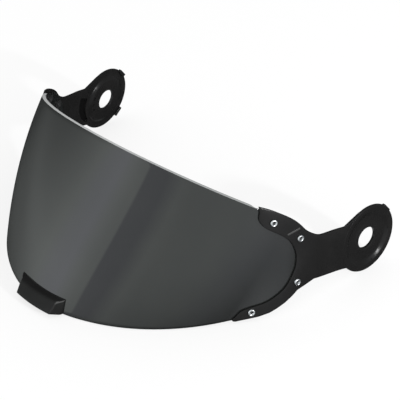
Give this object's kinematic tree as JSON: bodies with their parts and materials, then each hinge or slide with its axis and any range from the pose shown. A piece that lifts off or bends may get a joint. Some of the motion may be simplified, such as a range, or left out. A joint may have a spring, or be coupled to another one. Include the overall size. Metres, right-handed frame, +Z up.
{
  "type": "motorcycle helmet visor",
  "caption": "Smoke tinted helmet visor lens with a riveted side arm and pivot hub at each end and a lift tab at the lower front edge.",
  "frame": {"origin": "bottom centre of the bounding box: the visor stands on the lens's lower edge and on both pivot hubs", "axes": "+X from the wearer's right arm to the left arm, +Y towards the pivot hubs at the back, +Z up; the front of the lens faces -Y"},
  "size_m": [0.259, 0.2048, 0.1059],
  "materials": {
    "lens": "dark smoke tinted polycarbonate with a polished hard coat",
    "arm": "black moulded plastic, fine satin texture",
    "rivet": "bare turned metal",
    "washer": "black coated pressed steel",
    "lift_tab": "black moulded plastic, satin",
    "bonding_pad": "dark foam adhesive"
  },
  "bodies": {
    "root": {"lens": "lens", "left_arm": "arm", "right_arm": "arm", "lift_tab": "lift_tab", "lift_tab_pad": "bonding_pad", "left_rivet_1": "rivet", "left_rivet_2": "rivet", "left_rivet_3": "rivet", "left_rivet_4": "rivet", "right_rivet_1": "rivet", "right_rivet_2": "rivet", "right_rivet_3": "rivet", "right_rivet_4": "rivet", "left_washer_1": "washer", "left_washer_2": "washer", "left_washer_3": "washer", "left_washer_4": "washer", "right_washer_1": "washer", "right_washer_2": "washer", "right_washer_3": "washer", "right_washer_4": "washer"}
  },
  "joints": []
}
